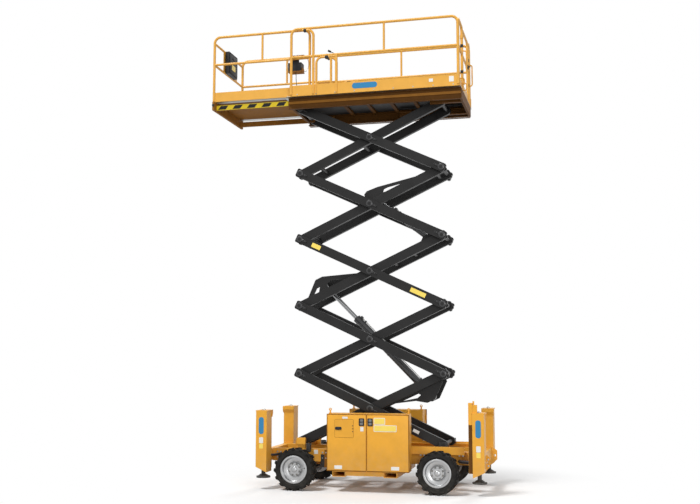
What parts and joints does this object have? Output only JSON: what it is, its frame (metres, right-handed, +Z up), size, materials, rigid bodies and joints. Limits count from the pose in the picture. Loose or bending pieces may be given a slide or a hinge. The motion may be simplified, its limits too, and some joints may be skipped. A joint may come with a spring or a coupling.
{
  "type": "scissor lift",
  "caption": "Rough-terrain scissor lift with a raised stack of crossed arms, a railed platform with a rolled-out deck, lugged wheels, side cabinets and corner stabiliser legs.",
  "frame": {"origin": "on the ground, under the middle of the wheelbase and the middle of the width", "axes": "+Z up, +X towards the rear end with the entry gate, so -X is the front with the steered axle and the roll-out deck; +Y towards the right-hand side"},
  "size_m": [4.8161, 1.8, 7.9242],
  "materials": {
    "battery": "matte",
    "black_plastic": "matte",
    "charcoal_paint": "satin",
    "deck": "satin",
    "rim": "satin",
    "rod_chrome": "polished",
    "steel": "satin",
    "tyre": "matte",
    "yellow_paint": "satin"
  },
  "bodies": {
    "chassis": {"chassis_frame": "yellow_paint", "front_legs": "yellow_paint", "rear_legs": "yellow_paint", "front_axle": "yellow_paint", "rear_axle": "yellow_paint", "steer_cylinder": "charcoal_paint", "fork_pocket_front": "yellow_paint", "fork_pocket_rear": "yellow_paint", "cabinet_left": "yellow_paint", "cabinet_right": "yellow_paint", "battery_pack": "battery", "hydraulic_unit": "battery"},
    "knuckle_left": {"knuckle_left": "charcoal_paint"},
    "knuckle_right": {"knuckle_right": "charcoal_paint"},
    "steer_rod": {"steer_rod": "rod_chrome"},
    "wheel_front_left": {"tyre_front_left": "tyre", "rim_front_left": "rim"},
    "jack_front_left": {"jack_front_left": "steel"},
    "door_left_front": {"door_left_front": "yellow_paint"},
    "wheel_front_right": {"tyre_front_right": "tyre", "rim_front_right": "rim"},
    "jack_front_right": {"jack_front_right": "steel"},
    "door_right_front": {"door_right_front": "yellow_paint"},
    "wheel_rear_left": {"tyre_rear_left": "tyre", "rim_rear_left": "rim"},
    "jack_rear_left": {"jack_rear_left": "steel"},
    "door_left_rear": {"door_left_rear": "yellow_paint"},
    "wheel_rear_right": {"tyre_rear_right": "tyre", "rim_rear_right": "rim"},
    "jack_rear_right": {"jack_rear_right": "steel"},
    "door_right_rear": {"door_right_rear": "yellow_paint"},
    "inner_arms_1": {"inner_arms_1": "charcoal_paint"},
    "outer_arms_1": {"outer_arms_1": "charcoal_paint"},
    "inner_arms_2": {"inner_arms_2": "charcoal_paint"},
    "outer_arms_2": {"outer_arms_2": "charcoal_paint"},
    "inner_arms_3": {"inner_arms_3": "charcoal_paint"},
    "outer_arms_3": {"outer_arms_3": "charcoal_paint"},
    "inner_arms_4": {"inner_arms_4": "charcoal_paint"},
    "outer_arms_4": {"outer_arms_4": "charcoal_paint"},
    "inner_arms_5": {"inner_arms_5": "charcoal_paint"},
    "outer_arms_5": {"outer_arms_5": "charcoal_paint"},
    "base_sliders": {"base_sliders": "steel"},
    "top_sliders": {"top_sliders": "steel"},
    "lower_barrel": {"lower_barrel": "charcoal_paint"},
    "lower_rod": {"lower_rod": "rod_chrome"},
    "upper_barrel": {"upper_barrel": "charcoal_paint"},
    "upper_rod": {"upper_rod": "rod_chrome"},
    "platform": {"deck_frame": "yellow_paint", "deck_plate": "deck", "side_rail_left": "yellow_paint", "side_rail_right": "yellow_paint", "rear_rail": "yellow_paint"},
    "gate": {"gate": "yellow_paint"},
    "roll_out": {"roll_frame": "yellow_paint", "roll_deck": "deck", "roll_rails": "yellow_paint", "control_box": "black_plastic", "manual_box": "black_plastic"}
  },
  "joints": [
    {"name": "lift", "type": "hinge", "parent": "chassis", "child": "inner_arms_1", "pos_m": [-1.24708, 0, 0.755], "axis": [0, -1, 0], "range_deg": [-21.6, 27]},
    {"name": "centre_1", "type": "hinge", "parent": "inner_arms_1", "child": "outer_arms_1", "pos_m": [0, 0, 1.33652], "axis": [0, -1, 0], "range_deg": [-54.5, 43.7]},
    {"name": "left_1", "type": "hinge", "parent": "outer_arms_1", "child": "inner_arms_2", "pos_m": [-1.24708, 0, 1.91804], "axis": [0, -1, 0], "range_deg": [-43.7, 54.5]},
    {"name": "centre_2", "type": "hinge", "parent": "inner_arms_2", "child": "outer_arms_2", "pos_m": [0, 0, 2.49957], "axis": [0, -1, 0], "range_deg": [-54.5, 43.7]},
    {"name": "left_2", "type": "hinge", "parent": "outer_arms_2", "child": "inner_arms_3", "pos_m": [-1.24708, 0, 3.08109], "axis": [0, -1, 0], "range_deg": [-43.7, 54.5]},
    {"name": "centre_3", "type": "hinge", "parent": "inner_arms_3", "child": "outer_arms_3", "pos_m": [0, 0, 3.66261], "axis": [0, -1, 0], "range_deg": [-54.5, 43.7]},
    {"name": "left_3", "type": "hinge", "parent": "outer_arms_3", "child": "inner_arms_4", "pos_m": [-1.24708, 0, 4.24414], "axis": [0, -1, 0], "range_deg": [-43.7, 54.5]},
    {"name": "centre_4", "type": "hinge", "parent": "inner_arms_4", "child": "outer_arms_4", "pos_m": [0, 0, 4.82566], "axis": [0, -1, 0], "range_deg": [-54.5, 43.7]},
    {"name": "left_4", "type": "hinge", "parent": "outer_arms_4", "child": "inner_arms_5", "pos_m": [-1.24708, 0, 5.40718], "axis": [0, -1, 0], "range_deg": [-43.7, 54.5]},
    {"name": "centre_5", "type": "hinge", "parent": "inner_arms_5", "child": "outer_arms_5", "pos_m": [0, 0, 5.98871], "axis": [0, -1, 0], "range_deg": [-54.5, 43.7]},
    {"name": "deck_level", "type": "hinge", "parent": "outer_arms_5", "child": "platform", "pos_m": [-1.24708, 0, 6.57023], "axis": [0, -1, 0], "range_deg": [-22.1, 27.5]},
    {"name": "base_slider_pivot", "type": "hinge", "parent": "outer_arms_1", "child": "base_sliders", "pos_m": [1.24708, 0, 0.755], "axis": [0, -1, 0], "range_deg": [-22.1, 27.5]},
    {"name": "top_slider_pivot", "type": "hinge", "parent": "inner_arms_5", "child": "top_sliders", "pos_m": [1.24708, 0, 6.57023], "axis": [0, -1, 0], "range_deg": [-27.5, 22.1]},
    {"name": "lower_swing", "type": "hinge", "parent": "inner_arms_1", "child": "lower_barrel", "pos_m": [0.98661, 0, 1.53241], "axis": [0, -1, 0], "range_deg": [-50.18, 40.24]},
    {"name": "lower_stroke", "type": "slide", "parent": "lower_barrel", "child": "lower_rod", "axis": [-0.7008, 0, 0.7133], "range_m": [-0.6459, 0.8061]},
    {"name": "upper_swing", "type": "hinge", "parent": "inner_arms_3", "child": "upper_barrel", "pos_m": [0.98672, 0, 4.22293], "axis": [0, -1, 0], "range_deg": [-55.04, 44.13]},
    {"name": "upper_stroke", "type": "slide", "parent": "upper_barrel", "child": "upper_rod", "axis": [-0.7855, 0, 0.6188], "range_m": [-0.2048, 0.2548]},
    {"name": "steer_left", "type": "hinge", "parent": "chassis", "child": "knuckle_left", "pos_m": [-1.195, -0.6, 0.345], "axis": [0, 0, 1], "range_deg": [-28, 28]},
    {"name": "steer_right", "type": "hinge", "parent": "chassis", "child": "knuckle_right", "pos_m": [-1.195, 0.6, 0.345], "axis": [0, 0, 1], "range_deg": [-28.2, 28.2]},
    {"name": "steer_stroke", "type": "slide", "parent": "chassis", "child": "steer_rod", "axis": [0, 1, 0], "range_m": [-0.0735, 0.0735]},
    {"name": "spin_front_left", "type": "hinge", "parent": "knuckle_left", "child": "wheel_front_left", "pos_m": [-1.195, -0.78, 0.345], "axis": [0, 1, 0], "continuous": true},
    {"name": "jack_front_left", "type": "slide", "parent": "chassis", "child": "jack_front_left", "axis": [0, 0, -1], "range_m": [0, 0.3]},
    {"name": "spin_front_right", "type": "hinge", "parent": "knuckle_right", "child": "wheel_front_right", "pos_m": [-1.195, 0.78, 0.345], "axis": [0, 1, 0], "continuous": true},
    {"name": "jack_front_right", "type": "slide", "parent": "chassis", "child": "jack_front_right", "axis": [0, 0, -1], "range_m": [0, 0.3]},
    {"name": "spin_rear_left", "type": "hinge", "parent": "chassis", "child": "wheel_rear_left", "pos_m": [1.195, -0.78, 0.345], "axis": [0, 1, 0], "continuous": true},
    {"name": "jack_rear_left", "type": "slide", "parent": "chassis", "child": "jack_rear_left", "axis": [0, 0, -1], "range_m": [0, 0.3]},
    {"name": "spin_rear_right", "type": "hinge", "parent": "chassis", "child": "wheel_rear_right", "pos_m": [1.195, 0.78, 0.345], "axis": [0, 1, 0], "continuous": true},
    {"name": "jack_rear_right", "type": "slide", "parent": "chassis", "child": "jack_rear_right", "axis": [0, 0, -1], "range_m": [0, 0.3]},
    {"name": "door_left_front", "type": "hinge", "parent": "chassis", "child": "door_left_front", "pos_m": [-0.618, -0.861, 0.805], "axis": [0, 0, -1], "range_deg": [0, 110]},
    {"name": "door_left_rear", "type": "hinge", "parent": "chassis", "child": "door_left_rear", "pos_m": [0.74, -0.861, 0.805], "axis": [0, 0, 1], "range_deg": [0, 110]},
    {"name": "door_right_front", "type": "hinge", "parent": "chassis", "child": "door_right_front", "pos_m": [-0.618, 0.861, 0.805], "axis": [0, 0, 1], "range_deg": [0, 110]},
    {"name": "door_right_rear", "type": "hinge", "parent": "chassis", "child": "door_right_rear", "pos_m": [0.74, 0.861, 0.805], "axis": [0, 0, -1], "range_deg": [0, 110]},
    {"name": "gate_swing", "type": "hinge", "parent": "platform", "child": "gate", "pos_m": [1.60408, -0.27, 7.39623], "axis": [0, 0, 1], "range_deg": [0, 95]},
    {"name": "roll_out_slide", "type": "slide", "parent": "platform", "child": "roll_out", "axis": [1, 0, 0], "range_m": [0, 1.34]}
  ],
  "couplings": [
    {"joint": "centre_1", "follows": "lift", "ratio": -2},
    {"joint": "left_1", "follows": "lift", "ratio": 2},
    {"joint": "centre_2", "follows": "lift", "ratio": -2},
    {"joint": "left_2", "follows": "lift", "ratio": 2},
    {"joint": "centre_3", "follows": "lift", "ratio": -2},
    {"joint": "left_3", "follows": "lift", "ratio": 2},
    {"joint": "centre_4", "follows": "lift", "ratio": -2},
    {"joint": "left_4", "follows": "lift", "ratio": 2},
    {"joint": "centre_5", "follows": "lift", "ratio": -2},
    {"joint": "deck_level", "follows": "lift", "ratio": 1},
    {"joint": "base_slider_pivot", "follows": "lift", "ratio": 1},
    {"joint": "top_slider_pivot", "follows": "lift", "ratio": -1},
    {"joint": "lower_swing", "follows": "lift", "ratio": -1.84},
    {"joint": "lower_stroke", "follows": "lift", "m_per_rad": 1.7},
    {"joint": "upper_swing", "follows": "lift", "ratio": -2.02},
    {"joint": "upper_stroke", "follows": "lift", "m_per_rad": 0.53},
    {"joint": "steer_right", "follows": "steer_left", "ratio": 1},
    {"joint": "steer_stroke", "follows": "steer_left", "m_per_rad": 0.1466}
  ]
}
